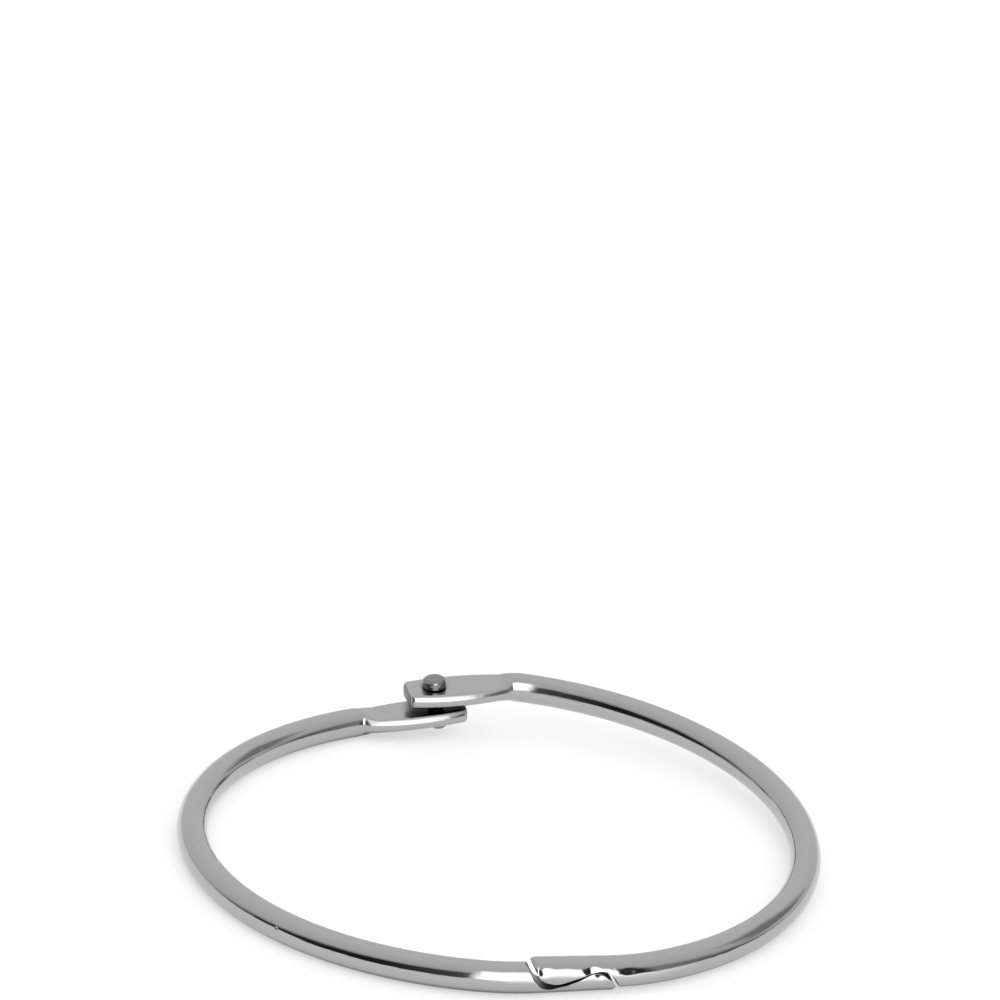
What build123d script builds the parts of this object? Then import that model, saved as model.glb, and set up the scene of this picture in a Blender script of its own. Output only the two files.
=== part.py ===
from build123d import *
import os
from math import acos, asin, atan, atan2, cos, degrees, radians, sin, sqrt, tan

# Binder ring of round steel wire: two like halves, joined by a loose rivet at the back (+Y)
# and hooked into each other at the front (-Y). Each half is one length of wire, bent to an
# arc, pressed flat at one end for the hinge and cut to an S-shaped hook at the other.
# Millimetres, +Z up. The origin lies under the ring's centre, on the surface it rests on.

# The wire and the ring
inside_diameter = 76.2
wire_diameter = 4.0

# The front of the ring runs a little flat, where the hook ends are straight
clasp_flattening = 0.6
clasp_blend_radius = 25.0

# The hook: an S-shaped cut across the wire, seen along the radius. Its tip slopes down to a
# tooth, and behind the tooth a notch, closed by the heel, takes the other half's tooth
hook_length = 5.6
tip_face_offset = 5.15
tip_face_height = 0.95
tip_slope_offset = 4.4
tip_slope_depth = 0.1
tooth_offset = 2.6
tooth_depth = 1.0
notch_offset = 2.7
notch_height = 0.86
heel_offset = 4.25
heel_height = 0.66
heel_face_offset = 5.2
heel_face_depth = 0.45
heel_length = 6.0

# The hinge tab: the wire pressed flat, widest between its free end and its shoulder. Its
# sides bulge, which a bevel with eased edges stands for
tab_thickness = 1.95
tab_width = 6.7
tab_end_width = 5.35
tab_root_width = 4.0
tab_free_length = 4.2
tab_root_length = 10.6
tab_crown_offset = 2.2
tab_root_step = 0.05
tab_edge_bevel = 0.5
tab_edge_ease = 0.2
shoulder_run = 1.3
tab_root_overlap = 0.3

# The rivet, loose in both tabs, with a turned head on top and a peened dome below
rivet_diameter = 2.2
rivet_clearance = 0.16
rivet_head_diameter = 3.25
rivet_head_rim = 0.75
rivet_head_height = 1.2
rivet_head_flat = 1.8
rivet_peen_diameter = 3.1
rivet_peen_height = 1.25
rivet_peen_offset = 0.25
rivet_lean = 3.0
rivet_head_clearance = 0.2
tab_gap = 1.0

# How the loose halves lie: each is raised at the hinge and tilted about the two axes
hinge_rise = 2.45
clasp_rise = 0.25
half_twist = 1.08

wire_radius = wire_diameter / 2
ring_radius = inside_diameter / 2 + wire_radius
clasp_y = ring_radius - clasp_flattening
hinge_y = sqrt(ring_radius**2 - tab_root_length**2)
tab_pitch = tab_thickness + tab_gap
half_tilt = degrees(asin((hinge_rise - clasp_rise) / (hinge_y + clasp_y)))
tab_slope = degrees(atan((tab_root_step + hinge_rise - tab_pitch / 2) / tab_root_length))


def wire():
    """The round wire, from the front hook to just inside the tab's root."""
    blend_x = sqrt((ring_radius - clasp_blend_radius) ** 2 - (clasp_y - clasp_blend_radius) ** 2)
    blend_centre = (blend_x, clasp_blend_radius - clasp_y)
    arc_start = degrees(atan2(blend_centre[1], blend_centre[0]))
    arc_end = degrees(acos((tab_root_length - 2 * shoulder_run) / ring_radius))
    start = (-hook_length - wire_radius, -clasp_y)
    path = Line(start, (blend_x, -clasp_y))
    path += CenterArc(blend_centre, clasp_blend_radius, -90, arc_start + 90)
    path += CenterArc((0, 0), ring_radius, arc_start, arc_end - arc_start)
    section = Plane(origin=(*start, 0), z_dir=(1, 0, 0)) * Circle(wire_radius)
    return sweep(section, path=path)


def below_hook():
    """What the S-shaped cut takes away from the hook end: all that lies under the seam."""
    past_wire = wire_radius + 0.2
    tip = (-hook_length, past_wire)
    heel = (heel_length, -past_wire)
    seam = Spline(
        tip,
        (-tip_face_offset, tip_face_height),
        (-tip_slope_offset, -tip_slope_depth),
        (-tooth_offset, -tooth_depth),
        (0, 0),
        (notch_offset, notch_height),
        (heel_offset, heel_height),
        (heel_face_offset, -heel_face_depth),
        heel,
        tangents=[(hook_length - tip_face_offset, tip_face_height - past_wire)] * 2,
    )
    beyond = hook_length + 2 * wire_diameter
    outline = Polyline(
        heel,
        (heel_length, -wire_diameter),
        (-beyond, -wire_diameter),
        (-beyond, wire_diameter),
        (-hook_length, wire_diameter),
        tip,
    )
    face = make_face([seam, *outline.edges()])
    return extrude(Plane.XZ.offset(clasp_y) * face, wire_diameter, both=True)


def shoulder_cut(side, face_height):
    """The wedge above (side 1) or below (side -1) that slopes the wire down to the tab's face."""
    drop = 2 * (wire_radius - face_height)
    far = tab_root_length - 2 * shoulder_run
    corners = [
        (tab_root_length, side * wire_radius),
        (far, side * (wire_radius - drop)),
        (far - wire_diameter, side * (wire_radius - drop)),
        (far - wire_diameter, side * wire_diameter),
        (tab_root_length, side * wire_diameter),
    ]
    face = make_face(Polyline(*corners, close=True))
    return extrude(Plane.XZ.offset(-hinge_y) * face, wire_diameter, both=True)


def tab():
    """The flattened hinge end, sloping down from its root towards its free end."""
    slope = radians(tab_slope)
    plane = Plane(
        origin=(tab_root_length, hinge_y, tab_root_step),
        x_dir=(cos(slope), 0, sin(slope)),
        z_dir=(-sin(slope), 0, cos(slope)),
    )
    end = -(tab_root_length + tab_free_length)
    crown = tab_crown_offset - tab_root_length
    outer = ThreePointArc(
        (end, tab_end_width / 2), (crown, tab_width / 2), (tab_root_overlap, tab_root_width / 2)
    )
    inner = mirror(outer, about=Plane.XZ)
    face = make_face([outer, inner, Line(outer @ 0, inner @ 0), Line(outer @ 1, inner @ 1)])
    body = extrude(face, tab_thickness / 2, both=True)
    body = chamfer(body.edges().filter_by(GeomType.CIRCLE), tab_edge_bevel)
    return plane * chamfer(body.edges().filter_by(GeomType.CIRCLE), tab_edge_ease)


def half():
    """One half of the ring in its own plane, on the +X side, with its tab and hook."""
    drop_at_face = shoulder_run * tan(radians(tab_slope))
    mid_height = tab_root_step - drop_at_face
    shaped = wire() - below_hook()
    shaped -= shoulder_cut(1, mid_height + tab_thickness / 2)
    shaped -= shoulder_cut(-1, tab_thickness / 2 - mid_height)
    return shaped + tab()


def rivet():
    """The rivet on the Z axis, centred between the two tabs, its dome peened off the centre."""
    shank = rivet_diameter / 2
    seat = tab_pitch / 2 + tab_thickness / 2 + rivet_head_clearance
    top = seat + rivet_head_height
    rim = seat + rivet_head_rim
    head = rivet_head_diameter / 2
    crown_bulge = 0.1
    crown = ThreePointArc(
        (rivet_head_flat / 2, top),
        ((rivet_head_flat / 2 + head) / 2 + crown_bulge, (top + rim) / 2 + crown_bulge),
        (head, rim),
    )
    side = Polyline((head, rim), (head, seat), (shank, seat), (shank, -seat), (0, -seat))
    middle = Polyline((0, -seat), (0, top), (rivet_head_flat / 2, top))
    turned = revolve(Plane.XZ * make_face([crown, *side.edges(), *middle.edges()]), Axis.Z)
    peen = rivet_peen_diameter / 2
    dome_radius = (peen**2 + rivet_peen_height**2) / (2 * rivet_peen_height)
    dome = Pos(0, 0, dome_radius - rivet_peen_height) * Sphere(dome_radius)
    dome = split(dome, bisect_by=Plane.XY, keep=Keep.BOTTOM)
    return turned + Pos(rivet_peen_offset, 0, -seat) * dome


def lay(side, piece):
    """Tilts a piece of one half about the front clasp: side 1 is raised, side -1 lowered."""
    tilt = Rot(X=side * half_tilt) * Rot(Y=side * half_twist)
    return Pos(0, -clasp_y, side * clasp_rise) * tilt * Pos(0, clasp_y, 0) * piece


hinge = Pos(0, hinge_y, 0) * Rot(Y=-tab_slope)
hole = hinge * Cylinder(rivet_diameter / 2 + rivet_clearance, 4 * tab_pitch)
like_half = half()
pieces = {
    "right_half": lay(1, like_half) - hole,
    "left_half": lay(-1, Rot(Y=180) * like_half) - hole,
    "hinge_rivet": hinge * Rot(Y=-rivet_lean) * rivet(),
}

# The left half lies flat, and the ring rolls a little until the right half's low side,
# at the front right, touches the surface as well
right_pitch = sin(radians(2 * half_tilt))
right_roll = sin(radians(2 * half_twist))
right_slope = sqrt(right_pitch**2 + right_roll**2)
low_side_height = 2 * clasp_rise + clasp_y * right_pitch - ring_radius * right_slope
low_side_x = ring_radius * right_roll / right_slope
rest_roll = degrees(asin(max(0.0, low_side_height) / low_side_x))
level = Rot(Y=half_twist + rest_roll) * Rot(X=half_tilt)
resting = {name: level * piece for name, piece in pieces.items()}
floor_height = min(piece.bounding_box().min.Z for piece in resting.values())

os.makedirs("parts", exist_ok=True)
for name, piece in resting.items():
    export_step(Pos(0, 0, -floor_height) * piece, f"parts/{name}.step")
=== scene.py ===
from math import asin, atan2, cos, pi, radians, sin, sqrt

import bmesh
import bpy
import numpy as np
from mathutils import Matrix, Vector


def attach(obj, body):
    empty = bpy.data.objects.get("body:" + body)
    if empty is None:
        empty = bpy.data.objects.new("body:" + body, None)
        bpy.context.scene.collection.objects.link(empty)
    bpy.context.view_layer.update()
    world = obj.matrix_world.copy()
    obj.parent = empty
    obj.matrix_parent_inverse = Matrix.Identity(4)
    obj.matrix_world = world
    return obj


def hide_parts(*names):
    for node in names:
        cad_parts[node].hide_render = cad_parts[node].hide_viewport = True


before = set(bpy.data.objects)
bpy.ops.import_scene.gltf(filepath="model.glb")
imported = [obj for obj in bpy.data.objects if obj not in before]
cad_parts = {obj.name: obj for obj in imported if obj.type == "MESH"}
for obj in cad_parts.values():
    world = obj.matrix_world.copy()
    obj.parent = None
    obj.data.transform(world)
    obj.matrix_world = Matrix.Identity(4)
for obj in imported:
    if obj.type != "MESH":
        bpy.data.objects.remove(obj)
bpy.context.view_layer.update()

# The two half rings: one length of drawn steel wire each, bent to an arc, pressed flat at the
# hinge and sheared to an S-shaped hook at the front, then nickel plated all over. They are the
# same part, and the left one is turned over. Sizes are in millimetres.
millimetre = 0.001
wire_radius = 2.0
ring_radius = 40.1

# The straight run at the front and the tighter bend that leads to the arc
clasp_y = 39.5
clasp_blend_radius = 25.0

# The flattened tab at the back. Its sides are left bulging by the press, and it slopes away
# from a shoulder, which is longer below than above. The shoulder's slope carries on until it
# is clear of the round wire, at this many times the step
tab_root_length = 10.6
tab_length = 14.8
tab_root_step = 0.05
tab_half_thickness = 0.975
tab_slope = radians(5.523)
tab_root_start = -0.3
tab_width_points = [(tab_root_start, wire_radius), (8.4, 3.35), (tab_length, 2.675)]
widening_run = 1.2
bulge_start = -0.9
bulge_run = 2.6
bulge_loss = 0.3
shoulder_run = 1.3
lower_shoulder_run = 2.2
shoulder_limit = 1.3
pressed_start = -0.2
pressed_run = 0.8
tab_corner = 0.4
tab_edge_ease = 0.07
bend_run = 1.2

# The hook: an S-shaped cut across the wire, as distances along it and heights, with the edges
# eased and the tip rounded over
seam_points = [
    (-5.6, 2.2),
    (-5.15, 0.95),
    (-4.4, -0.1),
    (-2.6, -1.0),
    (0.0, 0.0),
    (2.7, 0.86),
    (4.25, 0.66),
    (5.2, -0.45),
    (5.66, -1.45),
    (5.95, -1.86),
    (6.25, -2.02),
]
cut_edge_ease = 0.08
cut_edge_reach = 0.3
cut_edge_evening = 0.6
cut_limit = 0.98 * wire_radius
cut_mark_rise = 0.05
hook_tip_start = -4.85
hook_tip_run = 0.5
hook_tip_droop = 0.13
thinnest_tip = 0.3

# The dents that the shearing die left by the hook: how far along, how many degrees up round
# the outside of the wire, and how deep. Only what is this far out from the middle is dented
hook_dents = [(-4.2, 24, 0.1), (1.9, 29, 0.12), (6.6, 24, 0.08), (-3.2, -22, 0.08)]
dent_length = 0.7
dent_width = 0.5
skin_start = 1.8
skin_depth = 0.15

# How far each end is rounded over, along the wire and inward, with no point going further
# than this share of the way to the middle
hook_end_rounding = (0.05, 0.1)
tab_end_rounding = (0.2, 0.19)
furthest_in = 0.8
flat_end_reach = 0.22

# How finely the skin is drawn, with the arc's rings kept clear of their neighbours
points_round = 96
span_points = 24
hook_rings = 150
clasp_rings = 8
arc_rings = 150
tab_rings = 110
corner_rings = 9
corner_first_ring = 0.12
clasp_margin = 0.2
arc_margins = (0.02, 0.01)

hinge_y = sqrt(ring_radius**2 - tab_root_length**2)
blend_x = sqrt((ring_radius - clasp_blend_radius) ** 2 - (clasp_y - clasp_blend_radius) ** 2)
arc_start = atan2(clasp_blend_radius - clasp_y, blend_x)
arc_end = atan2(hinge_y, tab_root_length)
round_angles = np.linspace(-pi, pi, points_round, endpoint=False)


def smooth(value):
    """A smooth step from 0 to 1."""
    value = min(max(value, 0.0), 1.0)
    return value * value * (3 - 2 * value)


def seam_line():
    """The S-shaped cut as a smooth curve through its points."""
    knots = np.array(seam_points)
    before = 2 * knots[0] - knots[1]
    after = 2 * knots[-1] - knots[-2]
    knots = np.vstack([before, knots, after])
    line = []
    for a, b, c, d in zip(knots[:-3], knots[1:-2], knots[2:-1], knots[3:]):
        for t in np.linspace(0, 1, span_points, endpoint=False):
            straight = 2 * b + (c - a) * t
            curved = (2 * a - 5 * b + 4 * c - d) * t**2 + (3 * b - a - 3 * c + d) * t**3
            line.append(0.5 * (straight + curved))
    line.append(knots[-2])
    return np.array(line)


seam = seam_line()


def seam_height(along):
    """The height of the cut at a distance along the wire."""
    return np.interp(along, seam[:, 0], seam[:, 1])


def path(run, value):
    """The middle of the wire on one of its runs: its place, its direction and the way outward."""
    if run == "hook":
        if value <= blend_x:
            return Vector((value, -clasp_y, 0)), Vector((1, 0, 0)), Vector((0, -1, 0))
        turn = (value - blend_x) / clasp_blend_radius
        out = Vector((sin(turn), -cos(turn), 0))
        centre = Vector((blend_x, clasp_blend_radius - clasp_y, 0))
        return centre + clasp_blend_radius * out, Vector((cos(turn), sin(turn), 0)), out
    if run == "arc":
        out = Vector((cos(value), sin(value), 0))
        return ring_radius * out, Vector((-out.y, out.x, 0)), out
    down = Vector((-cos(tab_slope), 0, -sin(tab_slope)))
    root = Vector((tab_root_length, hinge_y, tab_root_step))
    return root + value * down, down, Vector((0, 1, 0))


def bend(value):
    """The short bend where the arc runs into the straight tab."""
    first, _, first_out = path("arc", arc_end - bend_run / ring_radius)
    last, _, last_out = path("tab", bend_run)
    root = Vector((tab_root_length, hinge_y, tab_root_step / 2))
    t = (value + bend_run) / (2 * bend_run)
    place = (1 - t) ** 2 * first + 2 * t * (1 - t) * root + t**2 * last
    along = ((1 - t) * (root - first) + t * (last - root)).normalized()
    outward = first_out.lerp(last_out, t)
    outward = (outward - outward.dot(along) * along).normalized()
    return place, along, outward


def tab_half_width(run):
    """Half the tab's width at a distance from its root: a long arc, widest at the rivet."""
    ends = np.array(tab_width_points)
    fit = np.linalg.solve(np.c_[2 * ends, np.ones(3)], (ends**2).sum(1))
    return float(fit[1] + sqrt(fit[2] + fit[0] ** 2 + fit[1] ** 2 - (run - fit[0]) ** 2))


def soft_min(a, b, ease):
    """The lower of two heights, with the corner between them eased."""
    return (a + b - np.sqrt((a - b) ** 2 + ease**2)) / 2


def hook_section(value):
    """The wire's section in the hook, cut off level at the seam: distances outward and heights."""
    out, up = wire_radius * np.cos(round_angles), wire_radius * np.sin(round_angles)
    height = seam_height(value)
    if height <= 0:
        up = -soft_min(-up, -height, cut_edge_ease)
    else:
        corner = asin(min(height, cut_limit) / wire_radius)
        upper = round_angles >= 0
        lifted = corner + round_angles / pi * (pi - 2 * corner)
        out = np.where(upper, wire_radius * np.cos(lifted), out * cos(corner))
        up = np.where(upper, wire_radius * np.sin(lifted), height)
    for _ in range(2):
        near = np.exp(-(((up - height) / cut_edge_reach) ** 2)) * cut_edge_evening
        out = out + near * ((np.roll(out, 1) + np.roll(out, -1)) / 2 - out)
        up = up + near * ((np.roll(up, 1) + np.roll(up, -1)) / 2 - up)
    droop = 1 - hook_tip_droop * min(max((hook_tip_start - value) / hook_tip_run, 0.0), 1.0) ** 2
    out, up = out * droop, up * droop
    skin = np.clip((np.hypot(out, up) - skin_start) / skin_depth, 0, 1)
    for along, degrees_up, depth in hook_dents:
        across = (np.arctan2(up, out) - radians(degrees_up)) * wire_radius / dent_width
        near = skin * depth / 2 * np.exp(-(((value - along) / dent_length) ** 2) - across**2)
        out, up = out * (1 - near), up * (1 - near)
    return out, up


def tab_section(value):
    """The wire's section as it widens and flattens into the tab: distances outward and heights."""
    widened = smooth((value - tab_root_start) / widening_run)
    width = wire_radius + (tab_half_width(max(value, tab_root_start)) - wire_radius) * widened
    near_end = max(value - (tab_length - flat_end_reach - tab_corner), 0.0) / tab_corner
    width -= tab_corner * (1 - sqrt(max(1 - near_end**2, 0.0)))
    bulge = wire_radius - bulge_loss * smooth((value - bulge_start) / bulge_run)
    out, up = width * np.cos(round_angles), bulge * np.sin(round_angles)
    rise = wire_radius - tab_half_thickness
    upper = tab_half_thickness + rise * min(max(1 - value / shoulder_run, 0.0), shoulder_limit)
    lower = tab_half_thickness + rise * min(max(1 - value / lower_shoulder_run, 0.0), shoulder_limit)
    up = soft_min(up, upper, tab_edge_ease)
    return out, -soft_min(-up, lower, tab_edge_ease)


def ring_places():
    """Where the skin has a ring, from the hook's tip to the tab's end: a run and a place on it."""
    hook = np.interp(np.linspace(0, 1, hook_rings), np.linspace(0, 1, len(seam)), seam[:, 0])
    hook = hook[seam_height(hook) < wire_radius - thinnest_tip]
    bend_end = blend_x + clasp_blend_radius * (arc_start + pi / 2)
    clasp = np.linspace(seam_points[-1][0] + clasp_margin, bend_end, clasp_rings)[:-1]
    bend_start = arc_end - bend_run / ring_radius
    arc = np.linspace(arc_start + arc_margins[0], bend_start - arc_margins[1], arc_rings)
    corner = tab_length - flat_end_reach - tab_corner
    tab = np.linspace(-bend_run, corner, tab_rings)
    round_corner = corner + tab_corner * np.sin(pi / 2 * np.linspace(corner_first_ring, 1, corner_rings))
    runs = [("hook", hook), ("hook", clasp), ("arc", arc), ("tab", tab), ("tab", round_corner)]
    return [(run, float(value)) for run, values in runs for value in values]


def rounded_over(ring, heading, reach, ease):
    """Three rings that carry on past an end of the wire and draw in, to round it over."""
    middle = sum(ring, Vector()) / len(ring)
    further = []
    for part in (1 / 3, 2 / 3, 1.0):
        drawn_in = ease * (1 - sqrt(1 - part**2))
        next_ring = []
        for point in ring:
            inward = middle - point
            inward.length = min(drawn_in, inward.length * furthest_in)
            next_ring.append(point + inward + heading * reach * part)
        further.append(next_ring)
    return further


# The streaks left by the drawing die run along the wire: they are this much longer than wide
streak_stretch = 9


def half_mesh(name):
    """One half ring as a closed skin of square facets, with its pressed and cut zones marked."""
    places = ring_places()
    rings, pressed, cut = [], [], []
    for run, value in places:
        bending = run == "tab" and value < bend_run
        place, along, outward = bend(value) if bending else path(run, value)
        upward = outward.cross(along)
        if upward.z < 0:
            upward = -upward
        if run == "arc":
            out, up = wire_radius * np.cos(round_angles), wire_radius * np.sin(round_angles)
        else:
            out, up = hook_section(value) if run == "hook" else tab_section(value)
        rings.append([place + outward * o + upward * u for o, u in zip(out, up)])
        cut_below = seam_height(value) + cut_mark_rise if run == "hook" else -2 * wire_radius
        cut.append([1.0 if u < cut_below else 0.0 for u in up])
        flattened = smooth((value - pressed_start) / pressed_run) if run == "tab" else 0.0
        pressed.append([flattened] * points_round)

    # The hook's tip comes before the first ring, and the tab's end after the last, where its
    # face is sheared as well
    before = rounded_over(rings[0], -path(*places[0])[1], *hook_end_rounding)
    beyond = rounded_over(rings[-1], path(*places[-1])[1], *tab_end_rounding)
    rings = before[::-1] + rings + beyond
    cut = [cut[0]] * len(before) + cut + [cut[-1]] + [[1.0] * points_round] * (len(beyond) - 1)
    pressed = [pressed[0]] * len(before) + pressed + [pressed[-1]] * len(beyond)

    faces = []
    for r in range(len(rings) - 1):
        for k in range(points_round):
            low, high = r * points_round, (r + 1) * points_round
            after = (k + 1) % points_round
            faces.append((low + k, low + after, high + after, high + k))
    last = (len(rings) - 1) * points_round
    faces.append(tuple(reversed(range(points_round))))
    faces.append(tuple(last + k for k in range(points_round)))
    mesh = bpy.data.meshes.new(name)
    mesh.from_pydata([p for ring in rings for p in ring], [], faces)

    for label, values in (("pressed", pressed), ("cut", cut)):
        layer = mesh.attributes.new(label, "FLOAT", "POINT")
        layer.data.foreach_set("value", np.array(values, np.float32).ravel())

    # Where each point lies on the straight wire before it was bent, for the streaks to follow
    middles = np.array([np.mean(ring, axis=0) for ring in rings])
    length = np.r_[0, np.cumsum(np.linalg.norm(np.diff(middles, axis=0), axis=1))]
    grain = np.zeros((len(rings), points_round, 3), np.float32)
    grain[..., 0] = wire_radius * np.cos(round_angles)
    grain[..., 1] = wire_radius * np.sin(round_angles)
    grain[..., 2] = length[:, None] / streak_stretch
    layer = mesh.attributes.new("grain", "FLOAT_VECTOR", "POINT")
    layer.data.foreach_set("vector", grain.ravel())
    return mesh


def linear(code):
    """An sRGB hex colour as linear red, green, blue and alpha."""
    parts = [int(code[i : i + 2], 16) / 255 for i in (1, 3, 5)]
    return [p / 12.92 if p <= 0.04045 else ((p + 0.055) / 1.055) ** 2.4 for p in parts] + [1.0]


def add(tree, kind, settings=None, **links):
    """Adds a node with its settings, and links or sets its inputs by name or number."""
    node = tree.nodes.new(kind)
    for name, value in (settings or {}).items():
        setattr(node, name, value)
    for name, value in links.items():
        socket = node.inputs[int(name[1:])] if name[0] == "_" else node.inputs[name.replace("_", " ")]
        if isinstance(value, bpy.types.NodeSocket):
            tree.links.new(value, socket)
        else:
            socket.default_value = value
    return node


# Bright nickel plate over drawn steel wire. It is a clear grey mirror that wavers a little with
# the wire's own waves and drawing streaks, satin where the press has flattened it, dull and
# darker where it is sheared, painted nearly black as shade in the crevices, and it has a few pinholes
streak_width = 0.625
streak_depth = 0.018
wave_length = 3.846
wave_depth = 0.04
# The press leaves marks finer than this, which wouldn't show in a picture of the whole ring
press_mark_spacing = 0.769
press_mark_depth = 0.04
press_mark_strength = 0.3
# A pinhole is finer too. Its floor and its rim are drawn at these distances from its middle
pinhole_spacing = 5.882
pinhole_floor = 0.0882
pinhole_rim = 0.2647
pinhole_depth = 0.1
# A crevice is painted dark as shade: how near the other metal must be, and how open the place is
# where the painted shade is darkest and where there is none. The tab counts as less open than it
# is, so its painted shade darkens sooner
crevice_shade_reach = 2.2
crevice_shade_openness, unshaded_openness = 0.22, 0.6
tab_shade_boost = 0.2
plated_roughness = 0.09
pressed_roughness = 0.12
sheared_roughness = 0.25

nickel = bpy.data.materials.new("nickel_plated_steel")
nickel.use_nodes = True
tree = nickel.node_tree
tree.nodes.clear()
place = add(tree, "ShaderNodeTexCoord").outputs["Object"]
pressed = add(tree, "ShaderNodeAttribute", {"attribute_name": "pressed"}).outputs["Fac"]
cut = add(tree, "ShaderNodeAttribute", {"attribute_name": "cut"}).outputs["Fac"]
grain = add(tree, "ShaderNodeAttribute", {"attribute_name": "grain"}).outputs["Vector"]

streaks = add(tree, "ShaderNodeTexNoise", Vector=grain, Scale=1 / streak_width, Detail=2.0)
waves = add(tree, "ShaderNodeTexNoise", Vector=place, Scale=1 / (wave_length * millimetre), Detail=2.0)
press_marks = add(
    tree, "ShaderNodeTexNoise", Vector=place, Scale=1 / (press_mark_spacing * millimetre), Detail=3.0
)
press_strength = add(
    tree, "ShaderNodeMath", {"operation": "MULTIPLY"}, _0=pressed, _1=press_mark_strength
)
cells = add(tree, "ShaderNodeTexVoronoi", Vector=place, Scale=1 / (pinhole_spacing * millimetre))
pinholes = add(
    tree,
    "ShaderNodeMapRange",
    Value=cells.outputs["Distance"],
    From_Min=pinhole_floor / pinhole_spacing,
    From_Max=pinhole_rim / pinhole_spacing,
)
streaked = add(
    tree, "ShaderNodeBump", Strength=1.0, Distance=streak_depth * millimetre, Height=streaks.outputs["Fac"]
)
wavy = add(
    tree,
    "ShaderNodeBump",
    Strength=1.0,
    Distance=wave_depth * millimetre,
    Height=waves.outputs["Fac"],
    Normal=streaked.outputs["Normal"],
)
marked = add(
    tree,
    "ShaderNodeBump",
    Strength=press_strength.outputs[0],
    Distance=press_mark_depth * millimetre,
    Height=press_marks.outputs["Fac"],
    Normal=wavy.outputs["Normal"],
)
pinholed = add(
    tree,
    "ShaderNodeBump",
    Strength=0.6,
    Distance=pinhole_depth * millimetre,
    Height=pinholes.outputs["Result"],
    Normal=marked.outputs["Normal"],
)

# Painted shade: the colour darkens to near black where other metal lies near, as in the gap between the
# tabs
openness = add(tree, "ShaderNodeAmbientOcclusion", Distance=crevice_shade_reach * millimetre).outputs["AO"]
less_on_tab = add(
    tree, "ShaderNodeMath", {"operation": "MULTIPLY_ADD"}, _0=pressed, _1=-tab_shade_boost, _2=openness
)
unshaded = add(
    tree,
    "ShaderNodeMapRange",
    Value=less_on_tab.outputs[0],
    From_Min=crevice_shade_openness,
    From_Max=unshaded_openness,
)
plate = add(
    tree,
    "ShaderNodeMix",
    {"data_type": "RGBA"},
    Factor=cut,
    _6=linear("#b0b0b0"),
    _7=linear("#808080"),
)
# Painted shade: mixes the plate's colour towards near black where the metal is enclosed
colour = add(
    tree,
    "ShaderNodeMix",
    {"data_type": "RGBA"},
    Factor=unshaded.outputs["Result"],
    _6=linear("#383838"),
    _7=plate.outputs[2],
)
satin = add(
    tree,
    "ShaderNodeMath",
    {"operation": "MULTIPLY_ADD"},
    _0=pressed,
    _1=pressed_roughness,
    _2=plated_roughness,
)
rough = add(
    tree, "ShaderNodeMath", {"operation": "MULTIPLY_ADD"}, _0=cut, _1=sheared_roughness, _2=satin.outputs[0]
)
shader = add(
    tree,
    "ShaderNodeBsdfPrincipled",
    Base_Color=colour.outputs[2],
    Metallic=1.0,
    Roughness=rough.outputs[0],
    Normal=pinholed.outputs["Normal"],
)
add(tree, "ShaderNodeOutputMaterial", Surface=shader.outputs["BSDF"])

# How the loose halves lie: one is raised and one lowered at the hinge, both are tilted about the
# hook and twisted, and the whole then lies level, with its lowest point on the surface. The
# hole is drilled along the hinge, through each tab.
hinge_rise = 2.45
clasp_rise = 0.25
half_twist = radians(1.08)
rest_roll = radians(0.0174)
floor_drop = 3.363
hole_radius = 1.26
hole_sides = 64
drill_length = 20.0
sharp_from = radians(50)
half_tilt = asin((hinge_rise - clasp_rise) / (hinge_y + clasp_y))
level = (
    Matrix.Translation((0, 0, floor_drop))
    @ Matrix.Rotation(half_twist + rest_roll, 4, "Y")
    @ Matrix.Rotation(half_tilt, 4, "X")
)
hinge = level @ Matrix.Translation((0, hinge_y, 0)) @ Matrix.Rotation(-tab_slope, 4, "Y")

for side, node in ((-1, "left_half"), (1, "right_half")):
    lay = (
        level
        @ Matrix.Translation((0, -clasp_y, side * clasp_rise))
        @ Matrix.Rotation(side * half_tilt, 4, "X")
        @ Matrix.Rotation(side * half_twist, 4, "Y")
        @ Matrix.Translation((0, clasp_y, 0))
    )
    if side < 0:
        lay = lay @ Matrix.Rotation(pi, 4, "Y")
    mesh = half_mesh(node + "_skin")
    mesh.transform(lay)
    half = bpy.data.objects.new(node + "_skin", mesh)
    bpy.context.scene.collection.objects.link(half)
    shaped = bmesh.new()
    shaped.from_mesh(mesh)
    bmesh.ops.recalc_face_normals(shaped, faces=shaped.faces)
    shaped.to_mesh(mesh)
    shaped.clear()
    bmesh.ops.create_cone(
        shaped,
        cap_ends=True,
        segments=hole_sides,
        radius1=hole_radius,
        radius2=hole_radius,
        depth=drill_length,
        matrix=hinge,
    )
    drill_mesh = bpy.data.meshes.new("drill")
    shaped.to_mesh(drill_mesh)
    shaped.free()
    drill = bpy.data.objects.new("drill", drill_mesh)
    bpy.context.scene.collection.objects.link(drill)
    hole = half.modifiers.new("rivet_hole", "BOOLEAN")
    hole.object = drill
    bpy.context.view_layer.update()
    drilled = bpy.data.meshes.new_from_object(half.evaluated_get(bpy.context.evaluated_depsgraph_get()))
    half.modifiers.clear()
    half.data = drilled
    bpy.data.objects.remove(drill)
    drilled.transform(Matrix.Scale(millimetre, 4))
    for face in drilled.polygons:
        face.use_smooth = True
    drilled.set_sharp_from_angle(angle=sharp_from)
    drilled.materials.clear()
    drilled.materials.append(nickel)
    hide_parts(node)
    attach(half, node)

# The rivet: a turned steel pin with a short domed head, peened over below and loose in both
# tabs. Its plating is thin and dulled by the hammer, so that it looks darker than the wire, with
# a soft unevenness, and painted shade makes it black under its head.
hammer_mark_spacing = 0.667
hammer_mark_depth = 0.05
head_shadow_reach = 1.5

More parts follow.
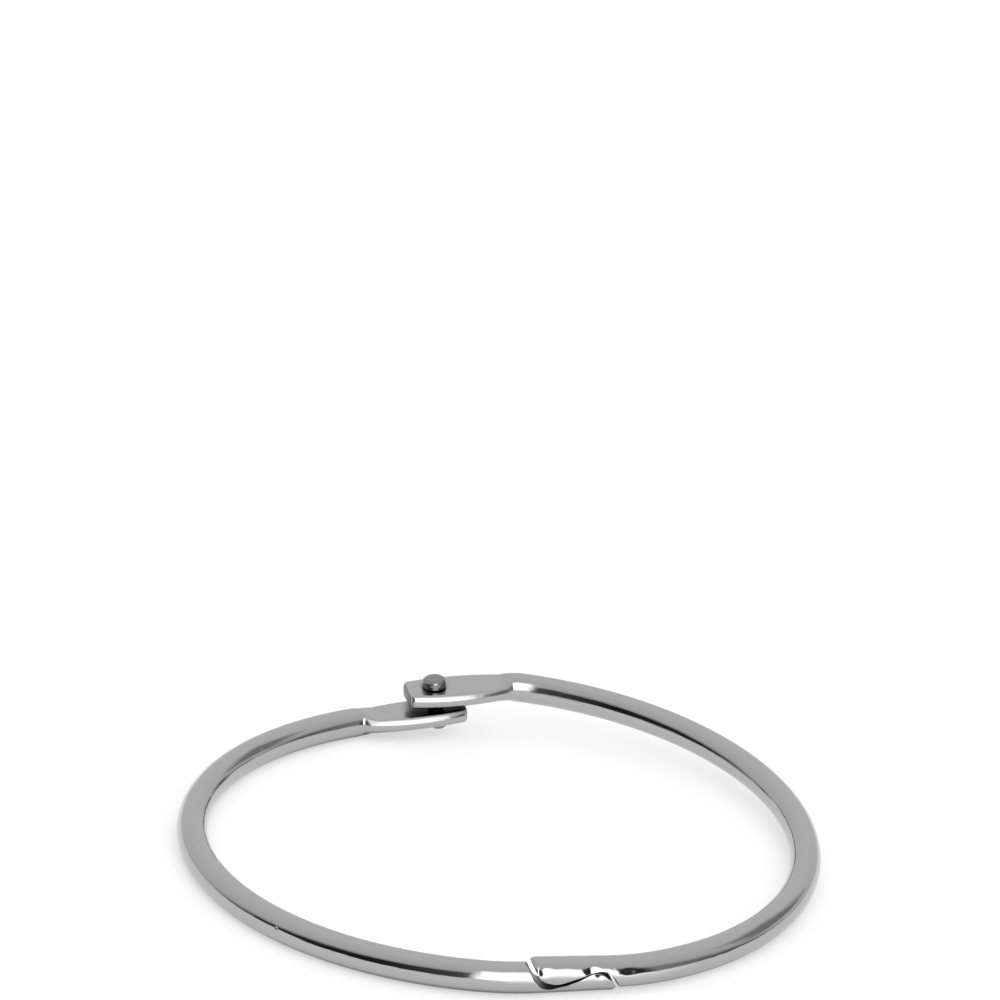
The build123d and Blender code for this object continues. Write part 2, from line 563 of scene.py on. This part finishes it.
dull = bpy.data.materials.new("dull_plated_rivet_steel")
dull.use_nodes = True
tree = dull.node_tree
tree.nodes.clear()
place = add(tree, "ShaderNodeTexCoord").outputs["Object"]
blows = add(
    tree, "ShaderNodeTexNoise", Vector=place, Scale=1 / (hammer_mark_spacing * millimetre), Detail=3.0
)
beaten = add(
    tree,
    "ShaderNodeBump",
    Strength=0.5,
    Distance=hammer_mark_depth * millimetre,
    Height=blows.outputs["Fac"],
)
# Painted shade: the colour turns near black where other metal lies near, as under the head
openness = add(tree, "ShaderNodeAmbientOcclusion", Distance=head_shadow_reach * millimetre).outputs["AO"]
unshaded = add(tree, "ShaderNodeMapRange", Value=openness, From_Min=0.3, From_Max=0.7)
colour = add(
    tree,
    "ShaderNodeMix",
    {"data_type": "RGBA"},
    Factor=unshaded.outputs["Result"],
    _6=linear("#1c1c1c"),
    _7=linear("#8a8a8a"),
)
shader = add(
    tree,
    "ShaderNodeBsdfPrincipled",
    Base_Color=colour.outputs[2],
    Metallic=1.0,
    Roughness=0.2,
    Normal=beaten.outputs["Normal"],
)
add(tree, "ShaderNodeOutputMaterial", Surface=shader.outputs["BSDF"])
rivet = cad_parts["hinge_rivet"]
rivet.data.materials.clear()
rivet.data.materials.append(dull)

# The surface that the ring lies on: smooth, matt white paper. It takes the ring's shadow as
# pale grey does, and a glow that only the camera and reflections see makes it white. The glow
# is brightest in front of the hook, which mirrors it. Sizes are in metres from here on.
floor_size = 3.0
brightest_spot = (0.012, -0.075, 0.0)
spot_reach = 0.034
brightest_glow, plain_glow = 2.1, 0.55

bpy.ops.mesh.primitive_plane_add(size=floor_size, location=(0, 0, 0))
floor = bpy.context.object
floor.name = "floor"
paper = bpy.data.materials.new("white_paper")
paper.use_nodes = True
tree = paper.node_tree
tree.nodes.clear()
ray = add(tree, "ShaderNodeLightPath").outputs
matt = add(tree, "ShaderNodeBsdfDiffuse", Color=linear("#c4c4c4")).outputs["BSDF"]
spot = add(tree, "ShaderNodeTexCoord").outputs["Object"]
away = add(tree, "ShaderNodeVectorMath", {"operation": "DISTANCE"}, _0=spot, _1=brightest_spot)
lit = add(
    tree,
    "ShaderNodeMapRange",
    Value=away.outputs["Value"],
    From_Min=0.0,
    From_Max=spot_reach,
    To_Min=brightest_glow,
    To_Max=plain_glow,
)
glow = add(tree, "ShaderNodeEmission", Color=linear("#ffffff"), Strength=lit.outputs["Result"])
glowing = add(tree, "ShaderNodeAddShader", _0=matt, _1=glow.outputs["Emission"]).outputs["Shader"]
mirrored = add(
    tree, "ShaderNodeMath", {"operation": "MAXIMUM"}, _0=ray["Is Glossy Ray"], _1=ray["Is Transmission Ray"]
)
seen = add(
    tree, "ShaderNodeMath", {"operation": "MAXIMUM"}, _0=ray["Is Camera Ray"], _1=mirrored.outputs[0]
)
surface = add(tree, "ShaderNodeMixShader", _0=seen.outputs[0], _1=matt, _2=glowing)
add(tree, "ShaderNodeOutputMaterial", Surface=surface.outputs["Shader"])
floor.data.materials.append(paper)

# The studio's light, which the metal mirrors: a soft grey tent overhead and behind, which ends
# above a dark room on the camera's side, one tall white panel in front, and a darker card at
# the right. The camera itself sees plain white.
towards_camera = (-0.272, -0.962, 0.0)
tent_lean = 0.62
tent_low, tent_high = -0.8, 1.3
panel_brightness = 2.7
panel_full_height, panel_top = 0.79, 0.995
card_foot, card_foot_end = 0.3, 0.22
card_top, card_top_end = 0.5, 0.68

world = bpy.data.worlds.new("studio")
bpy.context.scene.world = world
world.use_nodes = True
tree = world.node_tree
tree.nodes.clear()
way = add(tree, "ShaderNodeTexCoord").outputs["Generated"]
axes = add(tree, "ShaderNodeSeparateXYZ", Vector=way).outputs
front = add(tree, "ShaderNodeVectorMath", {"operation": "DOT_PRODUCT"}, _0=way, _1=towards_camera)
tent_edge = add(
    tree,
    "ShaderNodeMath",
    {"operation": "MULTIPLY_ADD"},
    _0=front.outputs["Value"],
    _1=-tent_lean,
    _2=axes["Z"],
)
tent_part = add(
    tree, "ShaderNodeMapRange", Value=tent_edge.outputs[0], From_Min=tent_low, From_Max=tent_high
).outputs["Result"]
nearer = add(tree, "ShaderNodeMath", {"operation": "MULTIPLY"}, _0=axes["Y"], _1=-1.0)
turn = add(tree, "ShaderNodeMath", {"operation": "ARCTAN2"}, _0=axes["X"], _1=nearer.outputs[0])
turn_part = add(
    tree, "ShaderNodeMapRange", Value=turn.outputs[0], From_Min=-pi, From_Max=pi
).outputs["Result"]

# Grey levels of each: the tent's by how far it is above its edge, and the others' by the turn
# in degrees to the right of straight ahead
tent_greys = [(0.06, 0.0), (0.19, 0.38), (0.32, 0.69), (0.5, 0.78), (0.9, 0.84), (1.16, 0.92)]
room_greys = [
    (-130, 0.3),
    (-110, 0.04),
    (-54, 0.02),
    (-35, 0.07),
    (-20, 0.09),
    (24, 0.03),
    (36, 0.05),
    (43, 0.4),
    (66, 0.2),
    (94, 0.1),
    (110, 0.05),
    (130, 0.3),
]
panel_greys = [(-22, 0.0), (-18, 1.0), (21, 1.0), (24, 0.0)]
card_greys = [(78, 1.0), (92, 0.4), (112, 0.4), (126, 1.0)]
shades = []
for value, lowest, highest, greys in (
    (tent_part, tent_low, tent_high, tent_greys),
    (turn_part, -180, 180, room_greys),
    (turn_part, -180, 180, panel_greys),
    (turn_part, -180, 180, card_greys),
):
    shade = add(tree, "ShaderNodeValToRGB", Fac=value)
    stops = [((where - lowest) / (highest - lowest), [grey] * 3 + [1]) for where, grey in greys]
    elements = shade.color_ramp.elements
    elements[0].position, elements[0].color = stops[0]
    elements[1].position, elements[1].color = stops[-1]
    for position, colour in stops[1:-1]:
        elements.new(position).color = colour
    shades.append(shade.outputs["Color"])
tent, room, panel, card = shades

panel_level = add(
    tree,
    "ShaderNodeMapRange",
    Value=axes["Z"],
    From_Min=panel_full_height,
    From_Max=panel_top,
    To_Min=panel_brightness,
    To_Max=0.0,
)
panel_light = add(
    tree, "ShaderNodeVectorMath", {"operation": "SCALE"}, _0=panel, Scale=panel_level.outputs["Result"]
)
above_card = add(tree, "ShaderNodeMapRange", Value=axes["Z"], From_Min=card_top, From_Max=card_top_end)
below_card = add(tree, "ShaderNodeMapRange", Value=axes["Z"], From_Min=card_foot, From_Max=card_foot_end)
past_card = add(
    tree,
    "ShaderNodeMath",
    {"operation": "MAXIMUM"},
    _0=above_card.outputs["Result"],
    _1=below_card.outputs["Result"],
)
card_level = add(tree, "ShaderNodeMath", {"operation": "MAXIMUM"}, _0=card, _1=past_card.outputs[0])
carded = add(tree, "ShaderNodeVectorMath", {"operation": "SCALE"}, _0=tent, Scale=card_level.outputs[0])
dim = add(tree, "ShaderNodeVectorMath", {"operation": "MAXIMUM"}, _0=carded.outputs[0], _1=room)
light = add(
    tree, "ShaderNodeVectorMath", {"operation": "MAXIMUM"}, _0=dim.outputs[0], _1=panel_light.outputs[0]
)
studio = add(tree, "ShaderNodeBackground", Color=light.outputs[0], Strength=1.0).outputs[0]
white = add(tree, "ShaderNodeBackground", Color=linear("#ffffff"), Strength=1.0).outputs[0]
ray = add(tree, "ShaderNodeLightPath").outputs
sky = add(tree, "ShaderNodeMixShader", _0=ray["Is Camera Ray"], _1=studio, _2=white)
add(tree, "ShaderNodeOutputWorld", Surface=sky.outputs[0])

# The camera stands low in front and a little to the left, with a long lens. It is turned a
# little about its own axis, and the ring lies low in its frame.
lens = bpy.data.cameras.new("camera")
lens.lens = 192.216
lens.sensor_width = 36.0
lens.clip_start = 0.01
camera = bpy.data.objects.new("camera", lens)
camera.location = (-0.164862, -0.611766, 0.298598)
camera.rotation_euler = [radians(angle) for angle in (68.4979, -3.6418, -13.3836)]
bpy.context.scene.collection.objects.link(camera)
bpy.context.scene.camera = camera
bpy.context.scene.view_settings.view_transform = "Standard"
